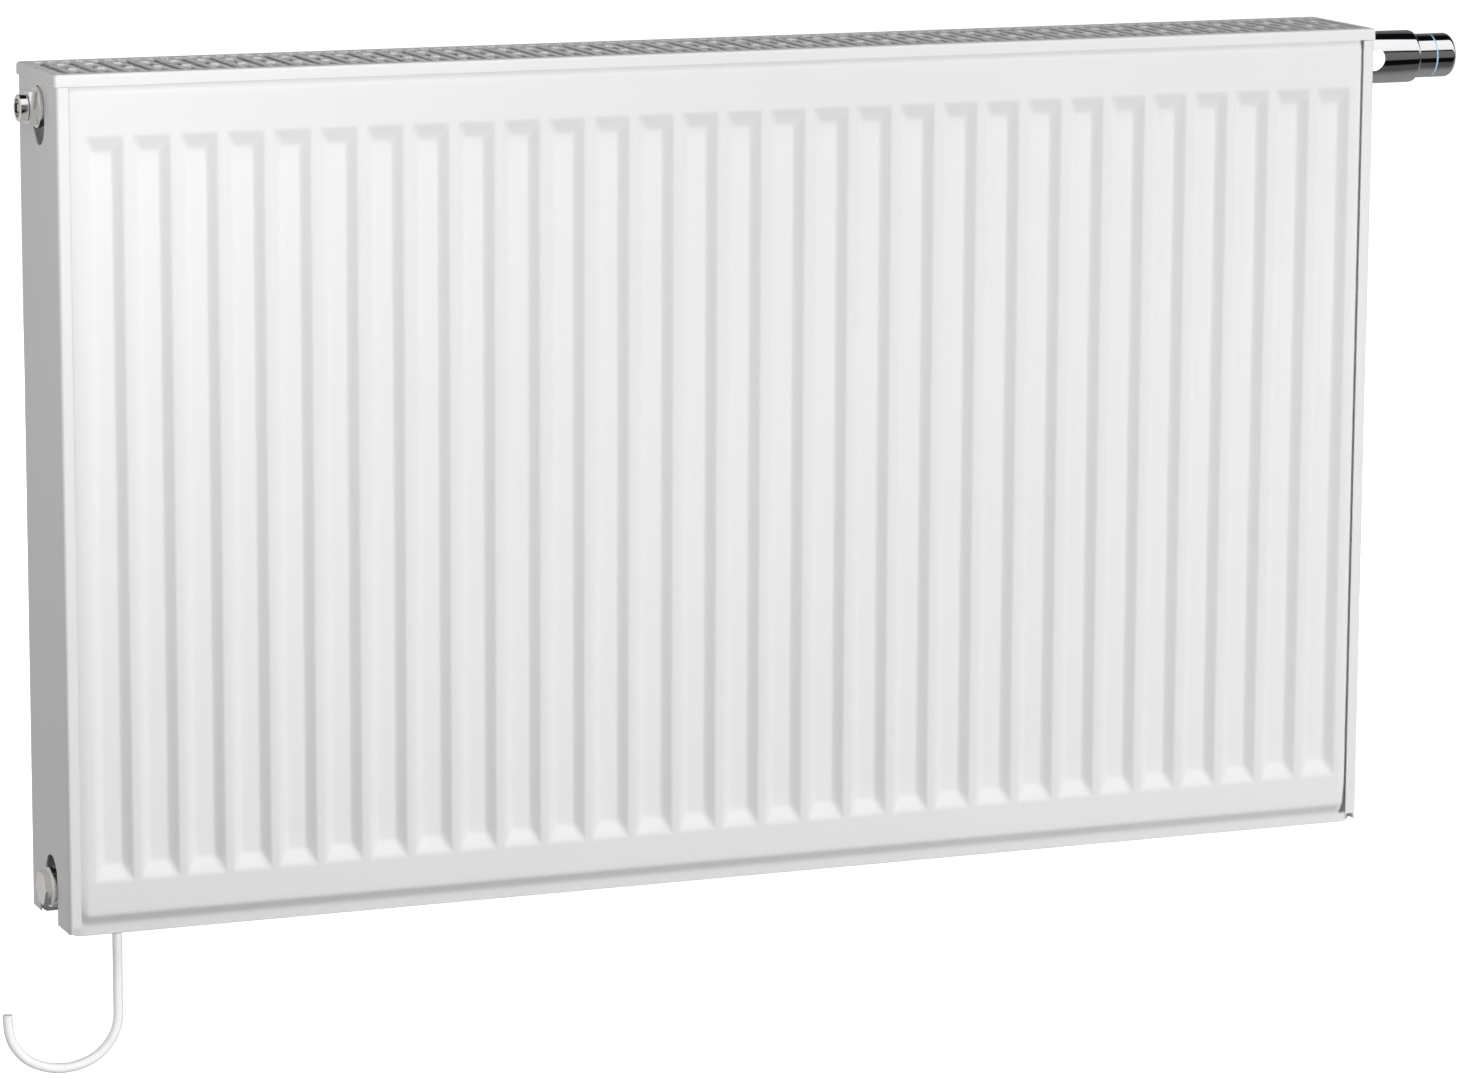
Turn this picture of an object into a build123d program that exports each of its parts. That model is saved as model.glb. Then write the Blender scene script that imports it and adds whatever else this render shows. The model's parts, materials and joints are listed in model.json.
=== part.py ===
"""Two-panel steel radiator with an integrated thermostatic valve, an air vent, blanking plugs
and an electric heating rod with a short bare-ended lead.

Millimetres. X runs along the radiator, +Y into the wall, +Z up. The origin is the centre of
the four hanging slots, in the plane of the lugs' back faces, so the front of the casing is
at y = -DEPTH and the casing spans z = -HEIGHT/2 to +HEIGHT/2.
"""
import os
from math import pi, radians, tan

from build123d import *

# ---- Casing ---------------------------------------------------------------------------
LENGTH = 1000.0
HEIGHT = 600.0
DEPTH = 100.0
CASING_SHEET = 1.0
BEND_RADIUS = 2.5
TOP = HEIGHT / 2
BOTTOM = -HEIGHT / 2
COVER_LIP = 9.0
COVER_OVERLAP = 1.0
SIDE_LIP = 8.6
SIDE_GAP = 0.4
SIDE_BOTTOM = BOTTOM + 3.0
SIDE_REAR = -1.5
LIP_FOOT = BOTTOM + 7.5
LIP_GAP = 0.3
HEAD_GAP = 3.0
CORNER_TUCK = 2.2

# ---- Grille ---------------------------------------------------------------------------
SLOT_PITCH = 10.0
SLOT_COUNT = 99
SLOT_WIDTH = 5.6
SLOT_CORNER = 1.6
SLOT_FRONT = -DEPTH + 9.0
SLOT_REAR = -DEPTH + 80.0
BRIDGES = [(-DEPTH + 30.0, 9.0), (-DEPTH + 61.0, 9.0)]
BEAD_BASE = 3.4
BEAD_TOP = 2.2
BEAD_HEIGHT = 0.6
BEAD_END = 4.0
BEAD_RUNOUT = 6.0
LIFT_NOTCH = (3.2, 1.8)
CLIP_Y = [-DEPTH + 15.0, -15.0]
CLIP_WIDTH = 8.0
CLIP_THICK = 0.5
CLIP_LENGTH = 18.0

# ---- Water panels ---------------------------------------------------------------------
PANEL_SHEET = 1.2
PRESS_DEPTH = 5.0
PANEL_THICK = 2 * (PRESS_DEPTH + PANEL_SHEET)
PITCH = LENGTH / 30
VALLEYS = 29
RIDGE_FLAT = 6.2
WALL_RUN = 6.8
END_RUN = 11.0
VALLEY_WIDTH = PITCH - RIDGE_FLAT
VALLEY_TOP = TOP - 43.7
VALLEY_BOTTOM = BOTTOM + 38.8
SEAM_HALF = LENGTH / 2 - 3.0
SEAM_TOP = TOP - 2.8
SEAM_CORNER = 5.0
FIELD_HALF = VALLEYS * PITCH / 2 + RIDGE_FLAT / 2
FIELD_TOP = TOP - 14.0
FIELD_BOTTOM = BOTTOM + 14.8
FRONT_RIDGE = -DEPTH + CASING_SHEET
FRONT_BACK = FRONT_RIDGE + PANEL_THICK
REAR_RIDGE = -8.0
REAR_FRONT = REAR_RIDGE - PANEL_THICK

# ---- Convectors -----------------------------------------------------------------------
FIN_SHEET = 0.6
FIN_DEPTH = 27.0
FIN_COUNT = 24
FIN_FOOT = 14.0
FIN_HALF_HEIGHT = 225.0

# ---- Ports ----------------------------------------------------------------------------
PORT_Y = (FRONT_BACK + REAR_FRONT) / 2
PORT_Z = HEIGHT / 2 - 27.0
PORT_X = 474.0
PORT_FACE = 497.0
CROSS_R = 12.0
CROSS_BORE_R = 9.0
BOSS_R = 14.0
BOSS_BORE_R = 10.5
OPENING_R = 15.0
OPENING_REACH = 11.0
FOOT_REACH = 30.5
SEAL_THICK = 1.5
FLANGE_R = 14.0
FLANGE_THICK = 3.0
THREAD_R = 10.4
THREAD_LENGTH = 16.0
HEX_FLATS = 22.4
HEX_THICK = 6.5
SEAL_FACE = PORT_FACE + SEAL_THICK
FLANGE_FACE = SEAL_FACE + FLANGE_THICK
HEX_FACE = FLANGE_FACE + HEX_THICK
NECK_R = 6.0
NECK_LENGTH = 2.2
NOZZLE_R = 9.2
NOZZLE_LENGTH = 6.2
KEY_FLATS = 5.0
KEY_SHAFT_R = 2.5

# ---- Valve and thermostatic head ------------------------------------------------------
VALVE_BODY_R = 15.0
INLET_X = 446.0
INLET_R = 9.5
PIPE_R = 7.5
PIPE_BORE_R = 6.5
SEAT_X = 456.0
SEAT_BORE_R = 4.5
CHAMBER_R = 9.0
INSERT_START = 478.0
PIN_R = 2.0
PIN_TIP = 521.0
SLEEVE_START = 502.0
SLEEVE_END = 554.0
SLEEVE_R = 19.4
SLEEVE_BORE_R = 16.9
HANDLE_START = 536.0
HANDLE_END = 586.0
HANDLE_R = 16.3
HANDLE_WALL = 1.8
HANDLE_CAP = 4.0
SENSOR_R = 13.4
SENSOR_START = 549.6
SENSOR_END = 579.0
SENSOR_WALL = 0.8
BAND_X = 569.0
BAND_WIDTH = 1.2
BAND_DEPTH = 0.4
GUIDE_R = 9.5
RUNNING_GAP = 0.05
# Outlines of the turned pieces, as (x, radius) points.
INSERT_OUTLINE = [
    (INSERT_START, PIN_R + RUNNING_GAP), (INSERT_START, 6.5), (481.0, 6.5),
    (481.0, CHAMBER_R - 0.05), (PORT_FACE, CHAMBER_R - 0.05), (PORT_FACE, 13.0),
    (500.8, 13.0), (500.8, 14.9), (509.0, 14.9), (509.0, 8.1), (515.0, 8.1),
    (515.0, 5.5), (503.0, 5.5), (503.0, 6.0), (481.0, 6.0), (481.0, PIN_R + RUNNING_GAP),
]
PIN_OUTLINE = [
    (466.0, 0), (466.0, PIN_R), (498.0, PIN_R), (498.0, 5.2), (499.2, 5.2),
    (499.2, PIN_R), (PIN_TIP - 0.6, PIN_R), (PIN_TIP, PIN_R - 0.6), (PIN_TIP, 0),
]
BASE_OUTLINE = [
    (512.5, 9.0), (512.5, 14.6), (514.7, 14.6), (514.7, 12.5), (527.0, 12.5),
    (527.0, SLEEVE_BORE_R - 0.05), (530.0, SLEEVE_BORE_R - 0.05), (530.0, GUIDE_R),
    (546.0, GUIDE_R), (546.0, 7.0), (531.0, 7.0), (531.0, 3.0), (527.0, 3.0), (527.0, 9.0),
]
UNION_OUTLINE = [
    (502.6, 15.0), (502.6, 16.4), (518.0, 16.4), (518.0, 12.7), (515.0, 12.7), (515.0, 15.0),
]
PLUNGER_OUTLINE = [
    (PIN_TIP + 0.2, 0), (PIN_TIP + 0.2, 2.5), (546.8, 2.5), (546.8, 6.6), (549.6, 6.6),
    (549.6, 0),
]

# ---- Bottom connection ----------------------------------------------------------------
CONNECTION_SPACING = 50.0
NIPPLE_R = 13.2
NIPPLE_LENGTH = 14.0
RETURN_LENGTH = 11.0
NIPPLE_END = BOTTOM + 2.0
FEED_X = PORT_X - CONNECTION_SPACING
RISER_BEND = 28.0

# ---- Hanging lugs ---------------------------------------------------------------------
LUG_X = 12 * PITCH
LUG_Z = 215.0
LUG_SHEET = 2.5
LUG_HEIGHT = 46.0
LUG_SLOT = (24.0, 10.0)

# ---- Heating rod and lead -------------------------------------------------------------
HEATER_START = -428.0
HEATER_END = -70.0
HEATER_R = 14.0
HEATER_BORE_R = 12.5
STUB_X = [-390.0, -110.0]
STUB_R = 10.0
STUB_BORE_R = 7.0
ROD_R = 5.0
CORD_X = -453.0
CORD_DIAMETER = 7.2
HOUSING_SIZE = (24.0, 34.0, 30.0)
HOUSING_WALL = 2.0
BOOT_END = -310.0
# The lead hangs straight from its gland, then curls up in one loose half turn.
CORD_ROUTE = [
    (CORD_X, PORT_Y, BOOT_END),
    (CORD_X, PORT_Y, -381.8),
    (-469.5, PORT_Y, -402.9),
    (-493.7, PORT_Y, -409.8),
    (-515.6, PORT_Y, -402.7),
    (-528.4, PORT_Y, -388.4),
    (-533.0, PORT_Y, -374.3),
    (-533.0, PORT_Y, -363.3),
]


# ---- Shared shapes --------------------------------------------------------------------
def block(x0, x1, y0, y1, z0, z1):
    """A box from its two opposite corners."""
    box = Box(abs(x1 - x0), abs(y1 - y0), abs(z1 - z0))
    return Pos((x0 + x1) / 2, (y0 + y1) / 2, (z0 + z1) / 2) * box


def rod_x(radius, x0, x1, y=PORT_Y, z=PORT_Z):
    """A round bar along X."""
    return Pos((x0 + x1) / 2, y, z) * Rot(0, 90, 0) * Cylinder(radius, abs(x1 - x0))


def rod_y(radius, y0, y1, x, z):
    """A round bar along Y."""
    return Pos(x, (y0 + y1) / 2, z) * Rot(90, 0, 0) * Cylinder(radius, abs(y1 - y0))


def rod_z(radius, z0, z1, x, y=PORT_Y):
    """A round bar along Z."""
    return Pos(x, y, (z0 + z1) / 2) * Cylinder(radius, abs(z1 - z0))


def hex_x(flats, x0, x1, y=PORT_Y, z=PORT_Z):
    """A hexagonal bar along X, with flats on its top and bottom."""
    outline = Rot(0, 90, 0) * Rot(0, 0, 30) * RegularPolygon(flats / 2, 6, major_radius=False)
    bar = extrude(outline, amount=abs(x1 - x0), dir=(1, 0, 0))
    return Pos(min(x0, x1), y, z) * bar


def turned_x(points, y=PORT_Y, z=PORT_Z):
    """A solid of revolution about an X axis, from its (x, radius) outline."""
    outline = make_face(Polyline(*[(x, 0, radius) for x, radius in points], close=True))
    return Pos(0, y, z) * revolve(outline, Axis.X)


def frustum(x, half_a, top_a, bottom_a, y_a, half_b, top_b, bottom_b, y_b):
    """A four-sided tapered block between two upright rectangles at y_a and y_b."""
    sections = []
    for half, high, low, y in ((half_a, top_a, bottom_a, y_a), (half_b, top_b, bottom_b, y_b)):
        plane = Plane(origin=(x, y, (high + low) / 2), x_dir=(1, 0, 0), z_dir=(0, 1, 0))
        sections.append(plane * Rectangle(2 * half, high - low))
    return loft(sections)


def coil_x(radius, wire_r, x0, x1, turns):
    """A compression spring about the valve axis."""
    length = x1 - x0
    path = Helix(pitch=length / turns, height=length, radius=radius)
    section = Plane(origin=path @ 0, z_dir=path % 0) * Circle(wire_r)
    return Pos(x0, PORT_Y, PORT_Z) * Rot(0, 90, 0) * sweep(section, path, is_frenet=True)


def mirrored(part):
    """The same piece at the other end of the radiator."""
    return mirror(part, about=Plane.YZ)


# ---- Casing ---------------------------------------------------------------------------
def side_panel():
    """The left side panel: a folded channel with lips round the front and the rear."""
    outer_x = -LENGTH / 2 + SIDE_GAP
    inner_x = outer_x + SIDE_LIP
    head = TOP - HEAD_GAP
    shell = block(outer_x, inner_x, -DEPTH, SIDE_REAR, SIDE_BOTTOM, head)
    corners = shell.edges().filter_by(Axis.Z).group_by(Axis.X)[0]
    shell = fillet(corners, BEND_RADIUS)
    hollow = block(outer_x + CASING_SHEET, inner_x + 1, -DEPTH + CASING_SHEET,
                   SIDE_REAR - CASING_SHEET, SIDE_BOTTOM - 1, head + 1)
    corners = hollow.edges().filter_by(Axis.Z).group_by(Axis.X)[0]
    shell -= fillet(corners, BEND_RADIUS - CASING_SHEET)
    lip_head = TOP - COVER_LIP - LIP_GAP
    for y0, y1 in ((-DEPTH - 1, -DEPTH + CORNER_TUCK), (-CORNER_TUCK, 1)):
        shell -= block(outer_x - 1, inner_x + 1, y0, y1, lip_head, TOP)
    shell -= block(outer_x + BEND_RADIUS, inner_x + 1, -DEPTH - 1, -DEPTH + 2,
                   SIDE_BOTTOM - 1, LIP_FOOT)
    top_window = rod_x(OPENING_R, outer_x - 1, outer_x + 2)
    top_window += rod_x(OPENING_R, outer_x - 1, outer_x + 2, z=PORT_Z - OPENING_REACH)
    top_window += block(outer_x - 1, outer_x + 2, PORT_Y - OPENING_R, PORT_Y + OPENING_R,
                        PORT_Z - OPENING_REACH, PORT_Z)
    slot_head = -PORT_Z + OPENING_REACH - 3.0
    foot_slot = rod_x(OPENING_R, outer_x - 1, outer_x + 2, z=slot_head)
    foot_slot += block(outer_x - 1, outer_x + 2, PORT_Y - OPENING_R, PORT_Y + OPENING_R,
                       SIDE_BOTTOM - 1, slot_head)
    foot_slot += block(outer_x - 1, outer_x + 2, PORT_Y, PORT_Y + FOOT_REACH,
                       SIDE_BOTTOM - 1, -PORT_Z)
    return shell - top_window - foot_slot


def grille_slots():
    """The air slots: every second one is tied across by two bridges."""
    outlines = []
    for index in range(SLOT_COUNT):
        x = (index - (SLOT_COUNT - 1) / 2) * SLOT_PITCH
        stops = [SLOT_FRONT]
        if index % 2:
            for y, width in BRIDGES:
                stops += [y - width / 2, y + width / 2]
        stops.append(SLOT_REAR)
        for near, far in zip(stops[0::2], stops[1::2]):
            slot = RectangleRounded(SLOT_WIDTH, far - near, SLOT_CORNER)
            outlines.append(Pos(x, (near + far) / 2, TOP - 3) * slot)
    return extrude(Sketch() + outlines, amount=6)


def grille_beads():
    """The pressed beads between the air slots, with ends that run out into the plate."""
    section = Polyline((-BEAD_BASE / 2, 0, -0.5), (BEAD_BASE / 2, 0, -0.5),
                       (BEAD_TOP / 2, 0, BEAD_HEIGHT), (-BEAD_TOP / 2, 0, BEAD_HEIGHT),
                       close=True)
    length = DEPTH - 2 * BEAD_END
    bead = extrude(make_face(section), amount=length, dir=(0, 1, 0))
    side = Polyline((0, 0, -0.5), (0, length, -0.5), (0, length, 0),
                    (0, length - BEAD_RUNOUT, BEAD_HEIGHT), (0, BEAD_RUNOUT, BEAD_HEIGHT),
                    (0, 0, 0), close=True)
    bead &= extrude(make_face(side), amount=BEAD_BASE, both=True)
    start = -DEPTH + BEAD_END
    plate_top = TOP - BEAD_HEIGHT
    first = -SLOT_COUNT / 2 * SLOT_PITCH
    return [Pos(first + k * SLOT_PITCH, start, plate_top) * bead for k in range(SLOT_COUNT + 1)]


def top_grille():
    """The cover: a shallow tray turned upside down, slotted and beaded along its top."""
    half = LENGTH / 2 + COVER_OVERLAP
    plate_top = TOP - BEAD_HEIGHT
    shell = block(-half, half, -DEPTH, 0, TOP - COVER_LIP, plate_top)
    bends = shell.edges().filter_by(Axis.Z) + shell.faces().sort_by(Axis.Z)[-1].edges()
    shell = fillet(bends, BEND_RADIUS)
    hollow = block(-half + CASING_SHEET, half - CASING_SHEET, -DEPTH + CASING_SHEET,
                   -CASING_SHEET, TOP - COVER_LIP - 5, plate_top - CASING_SHEET)
    bends = hollow.edges().filter_by(Axis.Z) + hollow.faces().sort_by(Axis.Z)[-1].edges()
    shell -= fillet(bends, BEND_RADIUS - CASING_SHEET)
    shell = Part() + [shell] + grille_beads()
    shell -= grille_slots()
    width, height = LIFT_NOTCH
    lip_foot = TOP - COVER_LIP
    for y in CLIP_Y:
        for x in (-half, half):
            shell -= block(x - 2, x + 2, y - width / 2, y + width / 2, lip_foot - 1,
                           lip_foot + height)
    return shell


def grille_clips():
    """Four spring strips under the cover that grip the side panels from inside."""
    outer = LENGTH / 2 - SIDE_GAP - CASING_SHEET - 0.5
    under = TOP - BEAD_HEIGHT - CASING_SHEET
    clips = []
    for side in (-1, 1):
        for y in CLIP_Y:
            near, far = side * (outer - CLIP_THICK), side * outer
            leg = block(near, far, y - CLIP_WIDTH / 2, y + CLIP_WIDTH / 2,
                        under - CLIP_LENGTH, under)
            foot = block(side * (outer - 6), near, y - CLIP_WIDTH / 2, y + CLIP_WIDTH / 2,
                         under - CLIP_THICK, under)
            clips.append(leg + foot)
    return Compound(children=clips)


# ---- Water panels ---------------------------------------------------------------------
def pressed_sheet(holes):
    """One pressed sheet: ridges at y = 0 facing -Y, weld plane at y = PRESS_DEPTH.

    Each hole is an (x, z, radius) opening through it.
    """
    weld = PRESS_DEPTH
    back = weld + PANEL_SHEET
    seam = block(-SEAM_HALF, SEAM_HALF, weld, back, BOTTOM, SEAM_TOP)
    seam = fillet(seam.edges().filter_by(Axis.Y).group_by(Axis.Z)[0], SEAM_CORNER)

    def field(y_shift):
        return frustum(0, FIELD_HALF + WALL_RUN, FIELD_TOP + WALL_RUN,
                       FIELD_BOTTOM - WALL_RUN, weld + y_shift,
                       FIELD_HALF, FIELD_TOP, FIELD_BOTTOM, y_shift)

    def valley(y_shift):
        return frustum(0, VALLEY_WIDTH / 2, VALLEY_TOP, VALLEY_BOTTOM, y_shift,
                       VALLEY_WIDTH / 2 - WALL_RUN, VALLEY_TOP - END_RUN,
                       VALLEY_BOTTOM + END_RUN, weld + y_shift)

    centres = [(k - (VALLEYS - 1) / 2) * PITCH for k in range(VALLEYS)]
    outside, inside = valley(0), valley(PANEL_SHEET)
    sheet = seam + field(0) - field(PANEL_SHEET)
    sheet = Part() + [sheet] + [Pos(x, 0, 0) * inside for x in centres]
    sheet -= [Pos(x, 0, 0) * outside for x in centres]
    for x, z, radius in holes:
        sheet -= rod_y(radius, -1, back + 1, x, z)
    return sheet


def water_holes():
    """The passages that the cross tubes and the heater stubs open into a panel."""
    holes = [(x, z, CROSS_BORE_R) for x in (-PORT_X, PORT_X) for z in (-PORT_Z, PORT_Z)]
    return holes + [(x, -PORT_Z, STUB_BORE_R) for x in STUB_X]


def convector():
    """A folded fin sheet whose feet lie on y = 0 and whose crests reach +Y."""
    half = FIN_COUNT * PITCH / 2
    crest_side, foot_side = [(-half, FIN_SHEET)], [(-half, 0)]
    for k in range(FIN_COUNT):
        left = -half + k * PITCH + FIN_FOOT / 2
        right = left + PITCH - FIN_FOOT
        crest_side += [(left, FIN_SHEET), (left, FIN_DEPTH), (right, FIN_DEPTH),
                       (right, FIN_SHEET)]
        foot_side += [(left + FIN_SHEET, 0), (left + FIN_SHEET, FIN_DEPTH - FIN_SHEET),
                      (right - FIN_SHEET, FIN_DEPTH - FIN_SHEET), (right - FIN_SHEET, 0)]
    crest_side.append((half, FIN_SHEET))
    foot_side.append((half, 0))
    outline = Polyline(*(crest_side + foot_side[::-1]), close=True)
    fins = extrude(make_face(outline), amount=2 * FIN_HALF_HEIGHT)
    return Pos(0, 0, -FIN_HALF_HEIGHT) * fins


def cross_tee(side, z):
    """A tube that joins the two panels, with a threaded boss out to the side panel."""
    tee = rod_y(CROSS_R, FRONT_BACK, REAR_FRONT, side * PORT_X, z)
    tee += rod_x(BOSS_R, side * PORT_X, side * PORT_FACE, z=z)
    return tee


def tee_bores(side, z):
    """The water ways inside a cross tee."""
    bores = rod_y(CROSS_BORE_R, FRONT_BACK - 1, REAR_FRONT + 1, side * PORT_X, z)
    return bores + rod_x(BOSS_BORE_R, side * PORT_X, side * (PORT_FACE + 1), z=z)


def plain_tee(side, z):
    """A cross tee with its water ways."""
    return cross_tee(side, z) - tee_bores(side, z)


def return_tee():
    """The lower right tee, with the return connection welded under it."""
    shoulder = NIPPLE_END + RETURN_LENGTH
    tee = cross_tee(1, -PORT_Z) + rod_z(NIPPLE_R, NIPPLE_END, shoulder, PORT_X)
    tee += rod_z(NIPPLE_R + 1.8, shoulder, shoulder + 3.5, PORT_X)
    tee += rod_z(CROSS_R, shoulder + 3.5, -PORT_Z, PORT_X)
    return tee - tee_bores(1, -PORT_Z) - rod_z(CROSS_BORE_R, NIPPLE_END - 1, -PORT_Z, PORT_X)


def hanging_lugs():
    """Four channel lugs welded on the rear ridges, each with a slot for a wall hook."""
    half = PITCH / 2 + LUG_SHEET / 2
    lugs = []
    for x in (-LUG_X, LUG_X):
        for z in (-LUG_Z, LUG_Z):
            low, high = z - LUG_HEIGHT / 2, z + LUG_HEIGHT / 2
            lug = block(x - half, x + half, REAR_RIDGE, 0, low, high)
            lug -= block(x - half + LUG_SHEET, x + half - LUG_SHEET, REAR_RIDGE - 1,
                         -LUG_SHEET, low - 1, high + 1)
            slot = Plane.XZ * SlotOverall(*LUG_SLOT)
            lug -= Pos(x, 0, z) * extrude(slot, amount=LUG_SHEET + 1, both=True)
            lugs.append(lug)
    return Compound(children=lugs)


# ---- Vent and plugs -------------------------------------------------------------------
def port_seal(side, z):
    """A flat ring seal between a boss and the flange of its plug."""
    ring = rod_x(FLANGE_R - 0.8, side * PORT_FACE, side * SEAL_FACE, z=z)
    return ring - rod_x(THREAD_R + 0.1, side * (PORT_FACE - 1), side * (SEAL_FACE + 1), z=z)


def plug_blank(side, z):
    """The threaded plug with its flange and its hexagon head."""
    plug = rod_x(THREAD_R, side * (SEAL_FACE - THREAD_LENGTH), side * SEAL_FACE, z=z)
    plug += rod_x(FLANGE_R, side * SEAL_FACE, side * FLANGE_FACE, z=z)
    return plug + hex_x(HEX_FLATS, side * FLANGE_FACE, side * HEX_FACE, z=z)


def blanking_plug(side):
    """A lower blanking plug, hollow from the water side."""
    bore = rod_x(THREAD_R - 2.6, side * (SEAL_FACE - THREAD_LENGTH - 1),
                 side * (SEAL_FACE - 1), z=-PORT_Z)
    plug = plug_blank(side, -PORT_Z) - bore
    rim = plug.faces().sort_by(Axis.X)[0 if side < 0 else -1].edges()
    return chamfer(rim, 0.6)


def vent_plug():
    """The vent's threaded body: a plug with a neck for the nozzle and a bore for the key."""
    body = plug_blank(-1, PORT_Z)
    body += rod_x(NECK_R, -HEX_FACE, -HEX_FACE - NECK_LENGTH)
    body -= rod_x(KEY_SHAFT_R + RUNNING_GAP, -HEX_FACE - NECK_LENGTH - 1, -FLANGE_FACE)
    return body - rod_x(1.0, -FLANGE_FACE - 1, -SEAL_FACE + THREAD_LENGTH + 1)


def vent_nozzle():
    """The ring that turns on the vent's neck to aim the escaping water."""
    start = -HEX_FACE - 0.3
    end = start - NOZZLE_LENGTH
    ring = rod_x(NOZZLE_R, start, end)
    ring = chamfer(ring.faces().sort_by(Axis.X)[0].edges(), 0.7)
    ring -= rod_x(NECK_R + RUNNING_GAP, start + 1, -HEX_FACE - NECK_LENGTH - 0.3)
    ring -= rod_x(NECK_R + 0.4, -HEX_FACE - NECK_LENGTH - 0.3, end - 1)
    return ring - rod_z(1.2, PORT_Z - NOZZLE_R - 1, PORT_Z - NECK_R, start - 4.2)


def vent_screw():
    """The vent's needle with its square key end."""
    root = -FLANGE_FACE - 1.2
    neck_end = -HEX_FACE - NECK_LENGTH
    screw = rod_x(KEY_SHAFT_R, root, neck_end - 0.4)
    half = KEY_FLATS / 2
    return screw + block(neck_end - 0.4, neck_end - 3.4, PORT_Y - half, PORT_Y + half,
                         PORT_Z - half, PORT_Z + half)


# ---- Valve ----------------------------------------------------------------------------
def valve_body():
    """The upper right cross tube with the valve's inlet, seat and insert socket."""
    body = rod_y(CROSS_R, FRONT_BACK, REAR_FRONT, PORT_X, PORT_Z)
    body += rod_x(VALVE_BODY_R, INLET_X - INLET_R - 1, PORT_FACE)
    body += rod_z(INLET_R, PORT_Z - 21, PORT_Z, INLET_X)
    body -= rod_z(PIPE_BORE_R, PORT_Z - 22, PORT_Z, INLET_X)
    body -= rod_x(PIPE_BORE_R, INLET_X, SEAT_X)
    body -= rod_x(SEAT_BORE_R, SEAT_X - 1, SEAT_X + 5)
    body -= rod_x(CHAMBER_R, SEAT_X + 3, PORT_FACE + 1)
    body -= rod_y(CROSS_BORE_R, FRONT_BACK - 1, REAR_FRONT + 1, PORT_X, PORT_Z)
    ring = rod_x(SEAT_BORE_R + 1.2, SEAT_X + 2.5, SEAT_X + 4.2)
    return body + (ring - rod_x(SEAT_BORE_R, SEAT_X + 2, SEAT_X + 5))


def valve_insert():
    """The brass insert that screws into the valve body and carries the head."""
    return turned_x(INSERT_OUTLINE)


def gland_nut():
    """The nut that closes the insert round the pin."""
    nut = rod_x(5.45, 505.0, 515.0) + hex_x(11.0, 515.0, 518.0)
    return nut - rod_x(PIN_R + RUNNING_GAP, 504, 519)


def preset_ring():
    """The setting ring that turns on the insert's neck, with grip notches round its rim."""
    ring = rod_x(11.5, 509.3, 512.2) - rod_x(8.1 + RUNNING_GAP, 509, 513)
    notch = rod_x(1.2, 509, 513, z=PORT_Z + 11.6)
    centre = Pos(0, PORT_Y, PORT_Z)
    for k in range(12):
        ring -= centre * Rot(30 * k, 0, 0) * centre.inverse() * notch
    return ring


def valve_pin():
    """The pin that pushes the disc, with the collar that its spring bears on."""
    return turned_x(PIN_OUTLINE)


def valve_disc():
    """The rubber disc that closes on the seat."""
    return rod_x(7.0, 463.0, 466.0)


def head_base():
    """The head's inner frame: a flanged neck, a web and the guide that the handle turns on."""
    return turned_x(BASE_OUTLINE)


def union_nut():
    """The knurled nut that clamps the head on the insert."""
    nut = turned_x(UNION_OUTLINE)
    groove = rod_x(0.7, 502, 519, z=PORT_Z + 16.6)
    centre = Pos(0, PORT_Y, PORT_Z)
    for k in range(24):
        nut -= centre * Rot(15 * k, 0, 0) * centre.inverse() * groove
    return nut


def head_sleeve():
    """The fixed outer sleeve, rounded at its outer shoulder."""
    sleeve = rod_x(SLEEVE_R, SLEEVE_START, SLEEVE_END)
    sleeve = fillet(sleeve.faces().sort_by(Axis.X)[-1].edges(), 2.2)
    return sleeve - rod_x(SLEEVE_BORE_R, SLEEVE_START - 1, SLEEVE_END + 1)


def head_handle():
    """The turning grip: a cup with a rounded end, a band groove and a flange on the guide."""
    grip = rod_x(HANDLE_R, HANDLE_START, HANDLE_END)
    grip = fillet(grip.faces().sort_by(Axis.X)[-1].edges(), 4.5)
    grip -= rod_x(GUIDE_R + RUNNING_GAP, HANDLE_START - 1, 546)
    grip -= rod_x(HANDLE_R - HANDLE_WALL, 545, HANDLE_END - HANDLE_CAP)
    return grip - head_band_ring(0.02)


def head_band_ring(slack=0.0):
    """The inlaid band's ring, grown by the given slack for its groove."""
    half = BAND_WIDTH / 2 + slack
    ring = rod_x(HANDLE_R + (1 if slack else 0), BAND_X - half, BAND_X + half)
    return ring - rod_x(HANDLE_R - BAND_DEPTH - slack, BAND_X - 2, BAND_X + 2)


def sensor_capsule():
    """The thin can of the thermostatic sensor inside the handle."""
    can = rod_x(SENSOR_R, SENSOR_START, SENSOR_END)
    cavity = rod_x(SENSOR_R - SENSOR_WALL, SENSOR_START + SENSOR_WALL, SENSOR_END - SENSOR_WALL)
    return fillet(can.edges(), 1.5) - fillet(cavity.edges(), 0.7)


def head_plunger():
    """The plunger that carries the sensor's travel to the valve pin."""
    return turned_x(PLUNGER_OUTLINE)


# ---- Bottom connection ----------------------------------------------------------------
def feed_nipple():
    """The feed connection: a threaded end, a shoulder and a neck for the riser pipe."""
    nipple = rod_z(NIPPLE_R, NIPPLE_END, NIPPLE_END + NIPPLE_LENGTH, FEED_X)
    nipple += rod_z(NIPPLE_R + 1.8, NIPPLE_END + NIPPLE_LENGTH, -280, FEED_X)
    nipple += rod_z(INLET_R, -280, -262, FEED_X)
    return nipple - rod_z(PIPE_BORE_R, NIPPLE_END - 1, -261, FEED_X)


def feed_bracket():
    """The strap between the panels that holds the feed connection."""
    strap = block(FEED_X - 14, FEED_X + 14, FRONT_BACK, REAR_FRONT, -280, -277)
    return strap - rod_z(INLET_R + 0.1, -281, -276, FEED_X)


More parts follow.
